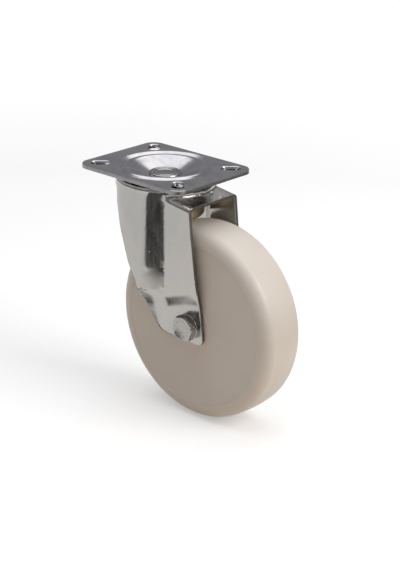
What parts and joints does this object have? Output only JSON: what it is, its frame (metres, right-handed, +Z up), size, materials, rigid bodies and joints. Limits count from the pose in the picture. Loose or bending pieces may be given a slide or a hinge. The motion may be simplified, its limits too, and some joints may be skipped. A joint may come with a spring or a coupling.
{
  "type": "swivel plate castor",
  "caption": "Swivel castor with a slotted rectangular mounting plate, a double ball race, a one-piece pressed steel fork and a solid nylon wheel on a bolted axle.",
  "frame": {"origin": "centre of the plate's mounting face, on the swivel axis", "axes": "+Z up out of the mounting face; +X from the swivel axis towards the wheel axle, along the plate's long side; the wheel axle lies along Y with the bolt head on the -Y side"},
  "size_m": [0.2318, 0.111, 0.246],
  "materials": {
    "zinc_plate": "bright zinc plate, slightly darkened flat",
    "zinc_fork": "zinc plated pressed sheet with a faint warm tint",
    "zinc_cup": "zinc plated, greasy",
    "zinc_bolt": "zinc plated fastener",
    "ball_steel": "ground bearing steel",
    "bare_steel": "turned steel",
    "nylon_wheel": "cream white cast nylon, satin",
    "nylon_cage": "moulded nylon",
    "nylon_washer": "moulded nylon",
    "nylon_insert": "nylon locking ring"
  },
  "bodies": {
    "plate": {"top_plate": "zinc_plate", "king_rivet": "zinc_plate", "lower_race_cup": "zinc_cup"},
    "upper_ball_set": {"upper_balls": "ball_steel"},
    "lower_ball_set": {"lower_balls": "ball_steel"},
    "swivel_fork": {"fork": "zinc_fork", "axle_bolt": "zinc_bolt", "bolt_washer": "zinc_bolt", "axle_nut": "zinc_bolt", "nut_insert": "nylon_insert", "nut_washer": "zinc_bolt", "axle_tube": "bare_steel", "end_washer_near": "nylon_washer", "end_washer_far": "nylon_washer"},
    "roller_set": {"roller_cage": "nylon_cage", "rollers": "ball_steel"},
    "road_wheel": {"wheel": "nylon_wheel"}
  },
  "joints": [
    {"name": "swivel", "type": "hinge", "parent": "plate", "child": "swivel_fork", "pos_m": [0, 0, 0], "axis": [0, 0, 1], "continuous": true},
    {"name": "wheel_spin", "type": "hinge", "parent": "swivel_fork", "child": "road_wheel", "pos_m": [0.0625, 0, -0.146], "axis": [0, 1, 0], "continuous": true},
    {"name": "upper_ball_orbit", "type": "hinge", "parent": "plate", "child": "upper_ball_set", "pos_m": [0, 0, 0], "axis": [0, 0, 1], "continuous": true},
    {"name": "lower_ball_orbit", "type": "hinge", "parent": "plate", "child": "lower_ball_set", "pos_m": [0, 0, 0], "axis": [0, 0, 1], "continuous": true},
    {"name": "roller_orbit", "type": "hinge", "parent": "swivel_fork", "child": "roller_set", "pos_m": [0.0625, 0, -0.146], "axis": [0, 1, 0], "continuous": true}
  ],
  "couplings": [
    {"joint": "upper_ball_orbit", "follows": "swivel", "ratio": 0.5},
    {"joint": "lower_ball_orbit", "follows": "swivel", "ratio": 0.5},
    {"joint": "roller_orbit", "follows": "wheel_spin", "ratio": 0.5785}
  ]
}
